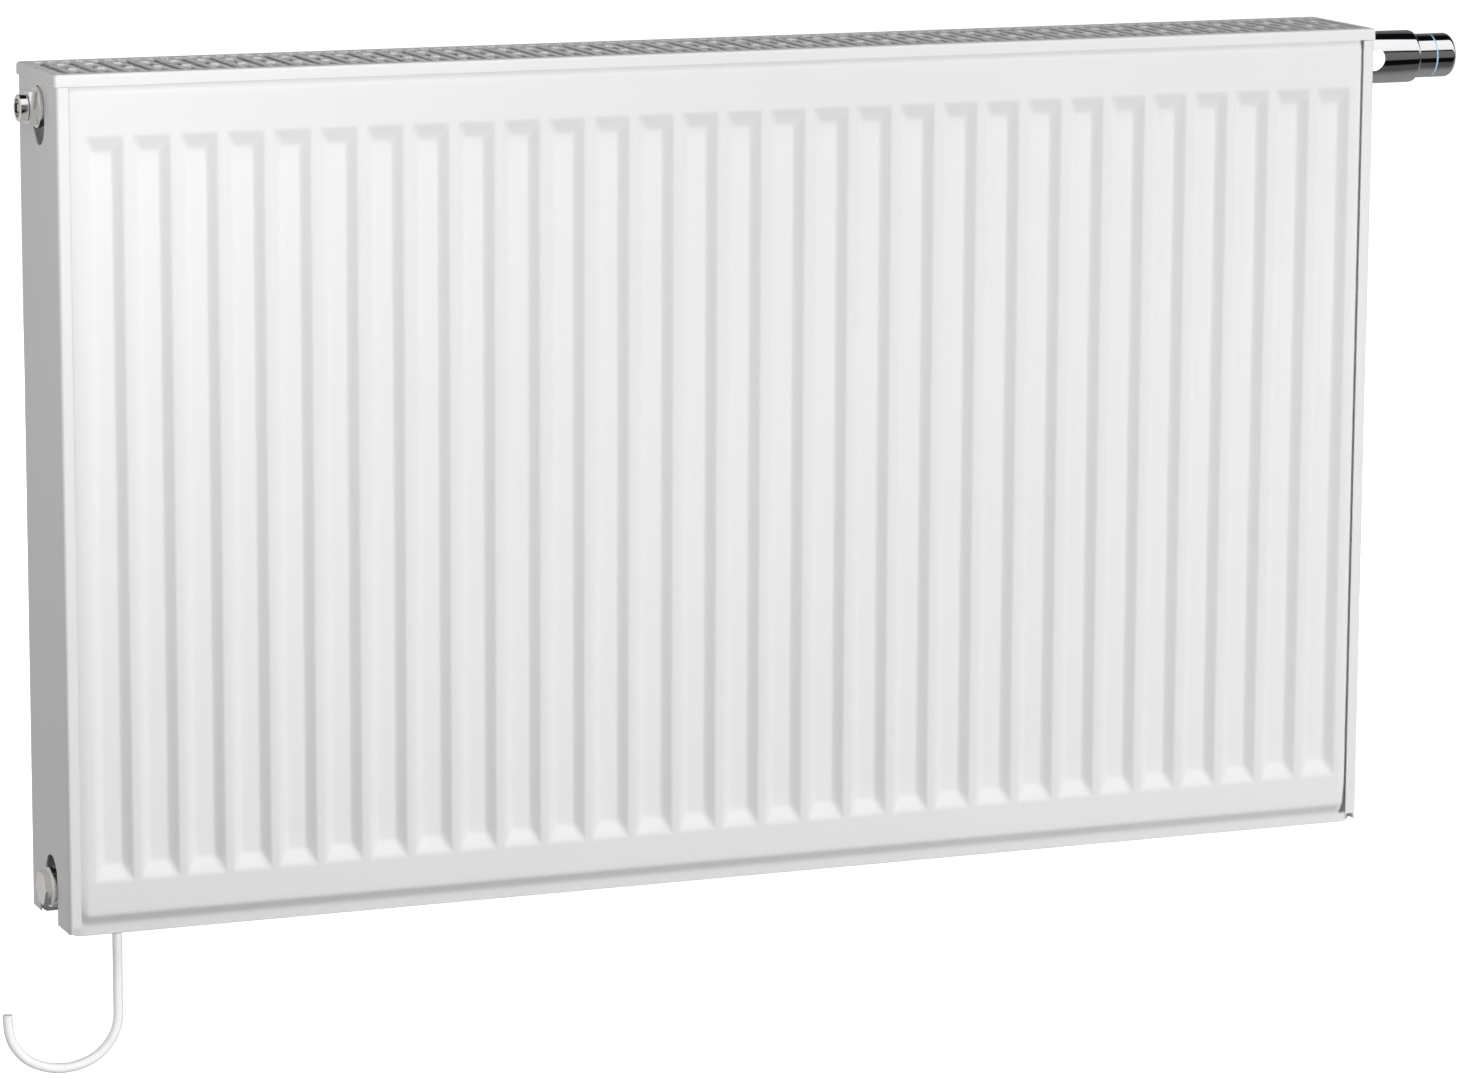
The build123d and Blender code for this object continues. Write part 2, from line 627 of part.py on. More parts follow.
def riser_pipe():
    """The pipe from the feed connection up to the valve."""
    path = FilletPolyline((INLET_X, PORT_Y, PORT_Z - 21), (INLET_X, PORT_Y, 170),
                          (FEED_X, PORT_Y, 120), (FEED_X, PORT_Y, -262), radius=RISER_BEND)
    wall = Plane(origin=path @ 0, z_dir=path % 0) * (Circle(PIPE_R) - Circle(PIPE_BORE_R))
    return sweep(wall, path)


# ---- Heating rod and lead -------------------------------------------------------------
def heater_tube():
    """The water tube round the heating rod, open to both panels through four stubs."""
    tube = rod_x(HEATER_R, HEATER_START, HEATER_END, z=-PORT_Z)
    for x in STUB_X:
        tube += rod_y(STUB_R, FRONT_BACK, REAR_FRONT, x, -PORT_Z)
    tube -= rod_x(HEATER_BORE_R, HEATER_START - 1, HEATER_END - 2, z=-PORT_Z)
    for x in STUB_X:
        tube -= rod_y(STUB_BORE_R, FRONT_BACK - 1, REAR_FRONT + 1, x, -PORT_Z)
    return tube


def heater_plug():
    """The brass plug that screws the heating rod into its tube."""
    plug = rod_x(HEATER_BORE_R - 0.05, HEATER_START, HEATER_START + 14, z=-PORT_Z)
    plug += hex_x(29.0, HEATER_START - 7.5, HEATER_START - 1.5, z=-PORT_Z)
    plug += rod_x(HEATER_BORE_R - 0.05, HEATER_START - 1.5, HEATER_START, z=-PORT_Z)
    return plug - rod_x(ROD_R + RUNNING_GAP, HEATER_START - 8, HEATER_START + 15, z=-PORT_Z)


def heater_seal():
    """The ring seal under the heater plug's head."""
    ring = rod_x(HEATER_R, HEATER_START - 1.5, HEATER_START, z=-PORT_Z)
    return ring - rod_x(HEATER_BORE_R, HEATER_START - 2, HEATER_START + 1, z=-PORT_Z)


def heating_rod():
    """The sheathed heating rod, from the terminal housing to near the tube's closed end."""
    rod = rod_x(ROD_R, HEATER_START - 7.5, HEATER_END - 30, z=-PORT_Z)
    return fillet(rod.faces().sort_by(Axis.X)[-1].edges(), 3.0)


def housing_box():
    """The terminal housing's outer limits: x0, x1, y0, y1, z0, z1."""
    width, depth, height = HOUSING_SIZE
    right = HEATER_START - 7.5
    return (right - width, right, PORT_Y - depth / 2, PORT_Y + depth / 2,
            -PORT_Z - height / 2, -PORT_Z + height / 2)


def terminal_housing():
    """The plastic box on the heater plug, open at the top under its lid."""
    x0, x1, y0, y1, z0, z1 = housing_box()
    wall = HOUSING_WALL
    box = block(x0, x1, y0, y1, z0, z1)
    box = fillet(box.edges().filter_by(Axis.Z), 2.0)
    return box - block(x0 + wall, x1 - wall, y0 + wall, y1 - wall, z0 + wall, z1 + 1)


def housing_lid():
    """The terminal housing's lid."""
    x0, x1, y0, y1, z0, z1 = housing_box()
    lid = block(x0, x1, y0, y1, z1, z1 + 2.4)
    lid = fillet(lid.edges().filter_by(Axis.Z), 2.0)
    return fillet(lid.faces().sort_by(Axis.Z)[-1].edges(), 1.0)


def terminal_block():
    """The block of three terminals inside the housing."""
    x0, x1, y0, y1, z0, z1 = housing_box()
    body = block(x0 + 4, x1 - 4, PORT_Y - 11, PORT_Y + 11, z0 + HOUSING_WALL, z0 + 14)
    for k in (-1, 0, 1):
        body -= rod_z(2.0, z0 + 8, z0 + 15, (x0 + x1) / 2, PORT_Y + 7 * k)
    return body


def cable_gland():
    """The gland under the housing, ending in the tapered boot that the lead hangs from."""
    floor = housing_box()[4]
    collar = rod_z(8.0, floor - 4.0, floor, CORD_X)
    boot = Pos(CORD_X, PORT_Y, (floor - 4.0 + BOOT_END) / 2) * Rot(180, 0, 0) * Cone(
        6.4, CORD_DIAMETER / 2 + 0.7, floor - 4.0 - BOOT_END)
    return collar + boot


def corner_radii(points):
    """For each corner, 0.45 of its shorter run over the tangent of half its turn."""
    radii = []
    for before, here, after in zip(points, points[1:], points[2:]):
        run_in = Vector(*here) - Vector(*before)
        run_out = Vector(*after) - Vector(*here)
        half_turn = radians(run_in.get_angle(run_out)) / 2
        radii.append(0.45 * min(run_in.length, run_out.length) / tan(half_turn))
    return radii


def mains_lead():
    """The free lead, with its path's length and corner radii."""
    radii = corner_radii(CORD_ROUTE)
    path = FilletPolyline(*CORD_ROUTE, radius=radii)
    section = Plane(origin=path @ 0, z_dir=path % 0) * Circle(CORD_DIAMETER / 2)
    return sweep(section, path), path.length, radii


def build():
    """Every piece by name."""
    pieces = {}
    pieces["side_panel_left"] = side_panel()
    pieces["side_panel_right"] = mirrored(pieces["side_panel_left"])
    pieces["top_grille"] = top_grille()
    pieces["grille_clips"] = grille_clips()

    solid_sheet = pressed_sheet([])
    open_sheet = pressed_sheet(water_holes())
    pieces["front_panel_face"] = Pos(0, FRONT_RIDGE, 0) * solid_sheet
    pieces["front_panel_back"] = Pos(0, FRONT_BACK, 0) * mirror(open_sheet, about=Plane.XZ)
    pieces["rear_panel_front"] = Pos(0, REAR_FRONT, 0) * open_sheet
    pieces["rear_panel_back"] = Pos(0, REAR_RIDGE, 0) * mirror(solid_sheet, about=Plane.XZ)
    fins = convector()
    pieces["front_convector"] = Pos(0, FRONT_BACK, 0) * fins
    pieces["rear_convector"] = Pos(0, REAR_FRONT, 0) * mirror(fins, about=Plane.XZ)
    pieces["hanging_lugs"] = hanging_lugs()

    pieces["tee_top_left"] = plain_tee(-1, PORT_Z)
    pieces["tee_bottom_left"] = plain_tee(-1, -PORT_Z)
    pieces["tee_bottom_right"] = return_tee()
    pieces["valve_body"] = valve_body()
    pieces["feed_nipple"] = feed_nipple()
    pieces["feed_bracket"] = feed_bracket()
    pieces["riser_pipe"] = riser_pipe()

    pieces["vent_seal"] = port_seal(-1, PORT_Z)
    pieces["vent_plug"] = vent_plug()
    pieces["vent_nozzle"] = vent_nozzle()
    pieces["vent_screw"] = vent_screw()
    pieces["plug_seal_left"] = port_seal(-1, -PORT_Z)
    pieces["plug_seal_right"] = port_seal(1, -PORT_Z)
    pieces["blanking_plug_left"] = blanking_plug(-1)
    pieces["blanking_plug_right"] = blanking_plug(1)

    pieces["valve_insert"] = valve_insert()
    pieces["gland_nut"] = gland_nut()
    pieces["preset_ring"] = preset_ring()
    pieces["valve_pin"] = valve_pin()
    pieces["valve_disc"] = valve_disc()
    pieces["pin_spring"] = coil_x(4.1, 0.5, 482.0, 494.6, 5)
    pieces["union_nut"] = union_nut()
    pieces["head_base"] = head_base()
    pieces["head_sleeve"] = head_sleeve()
    pieces["head_handle"] = head_handle()
    pieces["head_band"] = head_band_ring()
    pieces["sensor_capsule"] = sensor_capsule()
    pieces["head_plunger"] = head_plunger()
    pieces["head_spring"] = coil_x(4.9, 0.7, 532.0, 543.2, 4)

    pieces["heater_tube"] = heater_tube()
    pieces["heater_plug"] = heater_plug()
    pieces["heater_seal"] = heater_seal()
    pieces["heating_rod"] = heating_rod()
    pieces["terminal_housing"] = terminal_housing()
    pieces["housing_lid"] = housing_lid()
    pieces["terminal_block"] = terminal_block()
    pieces["cable_gland"] = cable_gland()
    lead, length, radii = mains_lead()
    pieces["mains_lead"] = lead
    section = pi * (CORD_DIAMETER / 2) ** 2
    print("lead length", round(length, 1), "volume / (section x length)",
          round(lead.volume / (section * length), 4))
    print("lead corner radii", [round(radius, 1) for radius in radii])
    return pieces


os.makedirs("parts", exist_ok=True)
for name, piece in build().items():
    export_step(piece, f"parts/{name}.step")
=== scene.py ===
"""The looks of a two-panel steel radiator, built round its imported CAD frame."""
import json
import math

import bmesh
import bpy
import numpy as np
from mathutils import Euler, Matrix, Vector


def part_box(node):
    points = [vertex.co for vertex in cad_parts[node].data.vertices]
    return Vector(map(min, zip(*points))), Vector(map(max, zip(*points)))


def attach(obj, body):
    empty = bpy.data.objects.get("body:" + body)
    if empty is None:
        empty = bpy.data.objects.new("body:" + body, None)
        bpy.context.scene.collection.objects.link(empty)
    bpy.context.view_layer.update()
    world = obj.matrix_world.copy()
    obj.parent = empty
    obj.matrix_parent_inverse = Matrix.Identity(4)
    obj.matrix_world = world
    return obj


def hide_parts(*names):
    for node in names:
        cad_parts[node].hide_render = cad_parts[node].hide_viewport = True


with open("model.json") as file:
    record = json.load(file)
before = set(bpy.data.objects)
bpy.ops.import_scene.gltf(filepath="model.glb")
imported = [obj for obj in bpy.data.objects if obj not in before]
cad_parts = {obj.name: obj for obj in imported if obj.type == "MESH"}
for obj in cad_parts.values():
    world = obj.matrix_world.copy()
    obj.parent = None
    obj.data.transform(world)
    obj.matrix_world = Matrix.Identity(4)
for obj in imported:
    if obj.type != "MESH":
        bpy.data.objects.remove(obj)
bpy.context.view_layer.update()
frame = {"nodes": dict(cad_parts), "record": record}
nodes = frame["nodes"]
record = frame["record"]
MM = 0.001
# The ports, the valve and the lead share the plane at PORT_Y; PORT_Z is the upper ports.
PORT_Y = -53.5
PORT_Z = 273.0

# ---- Camera ---------------------------------------------------------------------------
CAMERA_AT = (-1.5197, -3.8786, 0.7057)
CAMERA_YAW = 21.69
CAMERA_PITCH = -10.521
CAMERA_ROLL = 0.241
CAMERA_LENS = 142.83
CAMERA_SHIFT_X = 0.0065
SENSOR_WIDTH = 36

camera_data = bpy.data.cameras.new("camera")
camera_data.lens = CAMERA_LENS
camera_data.sensor_width = SENSOR_WIDTH
camera_data.shift_x = CAMERA_SHIFT_X
camera_data.clip_start = 0.1
camera_data.clip_end = 60
camera = bpy.data.objects.new("camera", camera_data)
bpy.context.scene.collection.objects.link(camera)
camera.location = CAMERA_AT
aim = Euler((math.radians(90 + CAMERA_PITCH), 0, -math.radians(CAMERA_YAW))).to_matrix()
aim @= Matrix.Rotation(math.radians(CAMERA_ROLL), 3, "Z")
camera.rotation_euler = aim.to_euler()
bpy.context.scene.camera = camera


# ---- Node helpers ---------------------------------------------------------------------
def new_material(name):
    """An empty node material: its tree, its output shader and a linking function."""
    material = bpy.data.materials.new(name)
    material.use_nodes = True
    tree = material.node_tree
    tree.nodes.clear()
    output = tree.nodes.new("ShaderNodeOutputMaterial")
    shader = tree.nodes.new("ShaderNodeBsdfPrincipled")
    tree.links.new(shader.outputs[0], output.inputs[0])
    return material, tree, shader


def noise(tree, scale, detail=3.0, roughness=0.5, stretch=None):
    """A noise texture over the object's own position in metres."""
    texture = tree.nodes.new("ShaderNodeTexNoise")
    texture.inputs["Scale"].default_value = scale
    texture.inputs["Detail"].default_value = detail
    texture.inputs["Roughness"].default_value = roughness
    coords = tree.nodes.new("ShaderNodeTexCoord")
    if stretch is None:
        tree.links.new(coords.outputs["Object"], texture.inputs["Vector"])
    else:
        mapping = tree.nodes.new("ShaderNodeMapping")
        mapping.inputs["Scale"].default_value = stretch
        tree.links.new(coords.outputs["Object"], mapping.inputs["Vector"])
        tree.links.new(mapping.outputs[0], texture.inputs["Vector"])
    return texture


def ranged(tree, source, low, high, start=0.3, end=0.7):
    """A map of a 0 to 1 signal onto low to high."""
    node = tree.nodes.new("ShaderNodeMapRange")
    node.inputs["From Min"].default_value = start
    node.inputs["From Max"].default_value = end
    node.inputs["To Min"].default_value = low
    node.inputs["To Max"].default_value = high
    tree.links.new(source, node.inputs["Value"])
    return node.outputs[0]


def tinted(tree, source, dark, light, start=0.3, end=0.7):
    """A colour between dark and light, by a 0 to 1 signal."""
    ramp = tree.nodes.new("ShaderNodeValToRGB")
    ramp.color_ramp.elements[0].position = start
    ramp.color_ramp.elements[1].position = end
    ramp.color_ramp.elements[0].color = (*dark, 1)
    ramp.color_ramp.elements[1].color = (*light, 1)
    tree.links.new(source, ramp.inputs[0])
    return ramp.outputs[0]


def bumped(tree, shader, source, distance, strength, before=None):
    """A bump on the shader's normal; before is an earlier bump to add to."""
    bump = tree.nodes.new("ShaderNodeBump")
    bump.inputs["Distance"].default_value = distance
    bump.inputs["Strength"].default_value = strength
    tree.links.new(source, bump.inputs["Height"])
    if before is not None:
        tree.links.new(before.outputs[0], bump.inputs["Normal"])
    tree.links.new(bump.outputs[0], shader.inputs["Normal"])
    return bump


def surface(name, dark, light, rough, metallic=0.0, patch=9.0, grain=900.0, grain_depth=0.02,
            grain_strength=0.2, stretch=None, coat=0.0, specular=0.5, grain_detail=2.0):
    """A finish: patchy colour and roughness, and a fine surface grain."""
    material, tree, shader = new_material(name)
    shader.inputs["Metallic"].default_value = metallic
    shader.inputs["Coat Weight"].default_value = coat
    shader.inputs["Coat Roughness"].default_value = 0.08
    shader.inputs["Specular IOR Level"].default_value = specular
    broad = noise(tree, patch, 4.0, 0.55)
    tree.links.new(tinted(tree, broad.outputs["Fac"], dark, light), shader.inputs["Base Color"])
    smears = noise(tree, patch * 3.1, 5.0, 0.6, stretch)
    tree.links.new(ranged(tree, smears.outputs["Fac"], rough[0], rough[1]),
                   shader.inputs["Roughness"])
    fine = noise(tree, grain, grain_detail, 0.5, stretch)
    bumped(tree, shader, fine.outputs["Fac"], grain_depth * MM, grain_strength)
    return material


def powder_coat():
    """Satin white powder coat: faint orange peel, a broad waviness and soft gloss changes."""
    material, tree, shader = new_material("white_paint")
    shader.inputs["Specular IOR Level"].default_value = 0.5
    broad = noise(tree, 3.5, 3.0, 0.5)
    tree.links.new(tinted(tree, broad.outputs["Fac"], (0.872, 0.874, 0.872),
                          (0.895, 0.897, 0.897)), shader.inputs["Base Color"])
    gloss = noise(tree, 22.0, 5.0, 0.6)
    tree.links.new(ranged(tree, gloss.outputs["Fac"], 0.30, 0.40), shader.inputs["Roughness"])
    wave = noise(tree, 45.0, 2.0, 0.5)
    first = bumped(tree, shader, wave.outputs["Fac"], 0.30 * MM, 0.10)
    peel = noise(tree, 620.0, 2.0, 0.5)
    bumped(tree, shader, peel.outputs["Fac"], 0.05 * MM, 0.22, first)
    return material


FINISHES = {
    "white_paint": powder_coat(),
    "chrome": surface("chrome", (0.86, 0.865, 0.87), (0.90, 0.905, 0.91), (0.02, 0.05), 1.0,
                      patch=40, grain=2500, grain_depth=0.004, grain_strength=0.05),
    "nickel": surface("nickel", (0.84, 0.83, 0.815), (0.90, 0.89, 0.88), (0.08, 0.16), 1.0,
                      patch=120, grain=1800, grain_depth=0.02, grain_strength=0.15,
                      stretch=(1, 1, 0.25)),
    "brass": surface("brass", (0.78, 0.74, 0.66), (0.86, 0.83, 0.76), (0.16, 0.32), 1.0,
                     patch=160, grain=1600, grain_depth=0.02, grain_strength=0.25,
                     stretch=(0.2, 1, 1)),
    "spring_steel": surface("spring_steel", (0.45, 0.45, 0.46), (0.60, 0.60, 0.61),
                            (0.22, 0.38), 1.0, patch=90, grain=1400, grain_strength=0.3),
    "black_rubber": surface("black_rubber", (0.016, 0.016, 0.017), (0.03, 0.03, 0.031),
                            (0.55, 0.75), patch=150, grain=2600, grain_depth=0.03,
                            grain_strength=0.5, specular=0.35),
    "band_plastic": surface("band_plastic", (0.42, 0.66, 0.88), (0.50, 0.72, 0.92),
                            (0.12, 0.22), patch=120, grain=1500, grain_strength=0.06, coat=0.4),
    "grey_plastic": surface("grey_plastic", (0.16, 0.165, 0.17), (0.21, 0.215, 0.22),
                            (0.38, 0.52), patch=110, grain=2200, grain_depth=0.03,
                            grain_strength=0.45),
    "white_plastic": surface("white_plastic", (0.80, 0.80, 0.785), (0.85, 0.85, 0.84),
                             (0.34, 0.48), patch=90, grain=2200, grain_depth=0.02,
                             grain_strength=0.35),
    "lead_sheath": surface("lead_sheath", (0.87, 0.87, 0.87), (0.91, 0.91, 0.91),
                           (0.34, 0.46), patch=60, grain=1700, grain_depth=0.02,
                           grain_strength=0.22),
}
SLOT_OF = {part["node"]: part["material_slot"] for part in record["subparts"]}
for name, node in nodes.items():
    node.data.materials.clear()
    node.data.materials.append(FINISHES[SLOT_OF[name]])


def add_piece(name, mesh, slot, body, replaced=()):
    """A new piece of the object, with its finish, body and the nodes it stands for."""
    piece = bpy.data.objects.new(name, mesh)
    bpy.context.scene.collection.objects.link(piece)
    piece.data.materials.clear()
    piece.data.materials.append(FINISHES[slot])
    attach(piece, body)
    if replaced:
        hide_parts(*replaced)
    return piece


# ---- The lead -------------------------------------------------------------------------
LEAD_DIAMETER = 7.2 * MM
LEAD_Y = PORT_Y
LEAD_ROUTE = [(-453, -310), (-453, -355), (-453, -380.5), (-468.5, -399.8),
              (-493.7, -406.0), (-516.2, -399.6), (-528.6, -386.6), (-533, -373.6),
              (-533, -362.3)]
lead_curve = bpy.data.curves.new("lead", "CURVE")
lead_curve.dimensions = "3D"
lead_curve.resolution_u = 24
lead_curve.bevel_depth = LEAD_DIAMETER / 2
lead_curve.bevel_resolution = 7
lead_curve.use_fill_caps = True
lead_spline = lead_curve.splines.new("NURBS")
lead_spline.points.add(len(LEAD_ROUTE) - 1)
for point, (x, z) in zip(lead_spline.points, LEAD_ROUTE):
    point.co = (x * MM, LEAD_Y * MM, z * MM, 1)
lead_spline.order_u = 3
lead_spline.use_endpoint_u = True
lead = add_piece("lead", lead_curve, "lead_sheath", "root", ["mains_lead"])

# ---- Pressed outer sheets -------------------------------------------------------------
SHEET = 1.2
PRESS = 5.6
LIPPED_RIM = 2.9
PITCH = 1000 / 30
VALLEYS = 29
RIDGE_WIDTH = 6.2
VALLEY_HALF = (PITCH - RIDGE_WIDTH) / 2
VALLEY_TOP = 256.3
VALLEY_BOTTOM = -261.2
WALL_RUN = 6.8
END_RUN = 11.0
SEAM_HALF = 497.0
SEAM_TOP = 297.2
SEAM_BOTTOM = -300.0
SEAM_CORNER = 5.0
FIELD_HALF = VALLEYS * PITCH / 2 + RIDGE_WIDTH / 2
FIELD_TOP = 286.0
FIELD_BOTTOM = -285.2
FIELD_CORNER = 9.0
# How far bends are rounded, as shares of a wall's run, and where the rim step fades in.
VALLEY_ROUND = 0.15
RIM_ROUND = 0.24
CREASE_ROUND = 0.10
CREASE_GROWTH = 0.34
RIM_FADE_START = 2
RIM_FADE = 12


def eased(u, k):
    """u held between 0 and 1, with both corners rounded over a half width of k."""
    low = np.where(u > -k, np.minimum(u + k, 2 * k) ** 2 / (4 * k), 0.0)
    rising = np.where(u > k, u, low)
    high = 1 - np.where(u < 1 + k, np.minimum(1 + k - u, 2 * k) ** 2 / (4 * k), 0.0)
    return np.where(u > 1 - k, high, rising)


def soft_min(a, b, k):
    """The smaller of a and b, with a rounded crease."""
    h = np.maximum(k - np.abs(a - b), 0) / k
    return np.minimum(a, b) - h * h * k / 4


def press_depth(x, z):
    """How far the sheet lies behind its ridges, in millimetres, over x and z."""
    across = np.abs(x - np.clip(np.round(x / PITCH), -(VALLEYS // 2), VALLEYS // 2) * PITCH)
    side = (VALLEY_HALF - across) / WALL_RUN
    head = (VALLEY_TOP - z) / END_RUN
    foot = (z - VALLEY_BOTTOM) / END_RUN
    end = np.minimum(head, foot)
    crease = CREASE_ROUND + CREASE_GROWTH * np.clip(np.minimum(side, end), 0, 1)
    valley = soft_min(side, end, crease)
    out_x = np.abs(x) - (FIELD_HALF + WALL_RUN - FIELD_CORNER)
    middle = (FIELD_TOP + FIELD_BOTTOM) / 2
    half_z = (FIELD_TOP - FIELD_BOTTOM) / 2 + WALL_RUN
    out_z = np.abs(z - middle) - (half_z - FIELD_CORNER)
    past = np.hypot(np.maximum(out_x, 0), np.maximum(out_z, 0))
    margin = FIELD_CORNER - np.where(past > 0, past, np.maximum(out_x, out_z))
    rim = eased(margin / WALL_RUN, RIM_ROUND)
    fade = np.clip((z - FIELD_BOTTOM - RIM_FADE_START) / RIM_FADE, 0, 1)
    rim_depth = PRESS - (PRESS - LIPPED_RIM) * fade
    return rim_depth * (1 - rim) + PRESS * eased(valley, VALLEY_ROUND)


def sheet_columns():
    """The grid's x values: close together where the sheet bends."""
    offsets = [0, 4.4, 5.7, 6.4, 7.1, 7.9, 10.2, 12.5, 13.2, 13.9, 14.65]
    cell = sorted(set([-o for o in offsets] + offsets))
    columns = []
    for k in range(VALLEYS):
        centre = (k - VALLEYS // 2) * PITCH
        columns += [centre + o for o in cell] + [centre + PITCH / 2]
    columns = columns[:-1]
    edge = FIELD_HALF + WALL_RUN
    rim = [FIELD_HALF - 2.2, FIELD_HALF - 1.2, FIELD_HALF, FIELD_HALF + 1.3, FIELD_HALF + 3.4,
           edge - 1.4, edge, edge + 1.4, SEAM_HALF - 1.2, SEAM_HALF]
    return np.array([-r for r in rim[::-1]] + columns + rim)


def sheet_rows():
    """The grid's z values: close together at the ends of the valleys and at the rim."""
    ends = [-1.9, -1.2, -0.4, 0.6, 1.7, 3.0, 4.6, 6.2, 7.8, 9.2, 10.2, 11.0, 11.8, 12.8]
    rim = [-1.7, -0.6, 0.4, 1.4, 2.6, 4.2, 5.4, 6.4, 7.4, 8.6]
    rows = [SEAM_BOTTOM, SEAM_BOTTOM + 0.7, SEAM_BOTTOM + 1.8, SEAM_BOTTOM + 3.2,
            SEAM_BOTTOM + 5.0]
    rows += [FIELD_BOTTOM - WALL_RUN + r for r in rim]
    rows += [FIELD_BOTTOM + 5, FIELD_BOTTOM + 11, FIELD_BOTTOM + 17]
    rows += [VALLEY_BOTTOM + e for e in ends]
    rows += list(np.linspace(VALLEY_BOTTOM + 16, VALLEY_TOP - 16, 25))
    rows += [VALLEY_TOP - e for e in ends[::-1]]
    rows += [FIELD_TOP - 20, FIELD_TOP - 11, FIELD_TOP - 5]
    rows += [FIELD_TOP + WALL_RUN - r for r in rim[::-1]]
    rows += [SEAM_TOP - 1.2, SEAM_TOP]
    return np.array(sorted(set(round(r, 3) for r in rows)))


def pressed_sheet(name, ridge_y, inward, replaced):
    """An outer sheet of a water panel; inward is +1 where its back is towards +Y."""
    columns, rows = sheet_columns(), sheet_rows()
    x, z = np.meshgrid(columns, rows)
    depth = press_depth(x, z)
    low = np.maximum(SEAM_BOTTOM + SEAM_CORNER - z, 0)
    reach = SEAM_HALF - SEAM_CORNER + np.sqrt(np.maximum(SEAM_CORNER ** 2 - low ** 2, 0))
    inner = SEAM_HALF - 12
    past = np.maximum(np.abs(x) - inner, 0) / (SEAM_HALF - inner)
    x = np.where(np.abs(x) > inner, np.sign(x) * (inner + past * (reach - inner)), x)
    face = np.stack([x, ridge_y + inward * depth, z], -1).reshape(-1, 3)
    back = face + np.array([0, inward * SHEET, 0])
    count_x, count_z = len(columns), len(rows)
    total = count_x * count_z
    grid = np.arange(total).reshape(count_z, count_x)
    quads = np.stack([grid[:-1, :-1], grid[:-1, 1:], grid[1:, 1:], grid[1:, :-1]], -1)
    quads = quads.reshape(-1, 4)
    faces = quads if inward > 0 else quads[:, ::-1]
    backs = faces[:, ::-1] + total
    ring = np.concatenate([grid[0, :], grid[1:, -1], grid[-1, -2::-1], grid[-2:0:-1, 0]])
    following = np.roll(ring, -1)
    rim = np.stack([ring, ring + total, following + total, following], -1)
    if inward < 0:
        rim = rim[:, ::-1]
    mesh = bpy.data.meshes.new(name)
    mesh.from_pydata(np.concatenate([face, back]) * MM, [],
                     np.concatenate([faces, backs, rim]).tolist())
    smooth = np.ones(len(mesh.polygons), bool)
    smooth[-len(rim):] = False
    mesh.polygons.foreach_set("use_smooth", smooth)
    mesh.update()
    return add_piece(name, mesh, "white_paint", "root", replaced)


front_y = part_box("front_panel_face")[0].y / MM
rear_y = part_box("rear_panel_back")[1].y / MM
pressed_sheet("front_sheet", front_y, 1, ["front_panel_face"])
pressed_sheet("rear_sheet", rear_y, -1, ["rear_panel_back"])

# ---- Grille ---------------------------------------------------------------------------
PLATE_TOP = 299.4
# Raised pads: y, spacing along X, how many each side, half sizes at the foot, and height.
PAD_ROWS = [(-70.0, 20.0, 24, 3.2, 3.2, 1.2), (-39.0, 20.0, 24, 3.2, 3.2, 1.2),
            (-15.4, 10.0, 49, 3.4, 3.9, 0.9)]
PAD_INSET_X = 0.9
PAD_INSET_Y = 1.3
PAD_ROOT = 0.2


def stamped_grille():
    """The cover plate with the stamped pads on its bridges and along its rear edge."""
    form = bmesh.new()
    form.from_mesh(nodes["top_grille"].data)
    form.transform(nodes["top_grille"].matrix_world)
    for y, spacing, count, half_x, half_y, rise in PAD_ROWS:
        for x in [k * spacing for k in range(-count, count + 1)]:
            foot, crown = [], []
            for side_x, side_y in ((-1, -1), (1, -1), (1, 1), (-1, 1)):
                foot.append(form.verts.new(((x + side_x * half_x) * MM,
                                            (y + side_y * half_y) * MM,
                                            (PLATE_TOP - PAD_ROOT) * MM)))
                crown.append(form.verts.new(((x + side_x * (half_x - PAD_INSET_X)) * MM,
                                             (y + side_y * (half_y - PAD_INSET_Y)) * MM,
                                             (PLATE_TOP + rise) * MM)))
            form.faces.new(crown)
            for k in range(4):
                form.faces.new((foot[k], foot[(k + 1) % 4], crown[(k + 1) % 4], crown[k]))
    mesh = bpy.data.meshes.new("stamped_grille")
    form.to_mesh(mesh)
    form.free()
    return add_piece("stamped_grille", mesh, "white_paint", "grille", ["top_grille"])


stamped_grille()

# ---- Thermostatic head ----------------------------------------------------------------
SLEEVE_OUTLINE = [(502.0, 16.9), (502.0, 17.4), (503.0, 18.1), (508.5, 19.2), (510.0, 19.4),
                  (551.6, 19.4), (553.2, 19.0), (554.0, 18.0), (554.0, 16.9)]
SLEEVE_SHARP = (0, 1, 7, 8)


def turned_piece(name, outline, sharp, slot, body, replaced, segments=112):
    """A piece turned about the valve axis, from its closed (x, radius) outline."""
    form = bmesh.new()
    rings = []
    for x, radius in outline:
        angles = [2 * math.pi * k / segments for k in range(segments)]
        rings.append([form.verts.new((x * MM, (PORT_Y + radius * math.cos(a)) * MM,
                                      (PORT_Z + radius * math.sin(a)) * MM)) for a in angles])
    for first, second in zip(rings, rings[1:] + rings[:1]):
        for k in range(segments):
            following = (k + 1) % segments
            form.faces.new((first[k], first[following], second[following], second[k]))
    bmesh.ops.recalc_face_normals(form, faces=form.faces)
    for face in form.faces:
        face.smooth = True
    for index in sharp:
        for k in range(segments):
            edge = form.edges.get((rings[index][k], rings[index][(k + 1) % segments]))
            edge.smooth = False
    mesh = bpy.data.meshes.new(name)
    form.to_mesh(mesh)
    form.free()
    return add_piece(name, mesh, slot, body, replaced)


sleeve = turned_piece("sleeve_shell", SLEEVE_OUTLINE, SLEEVE_SHARP, "chrome", "root",
                      ["head_sleeve"])

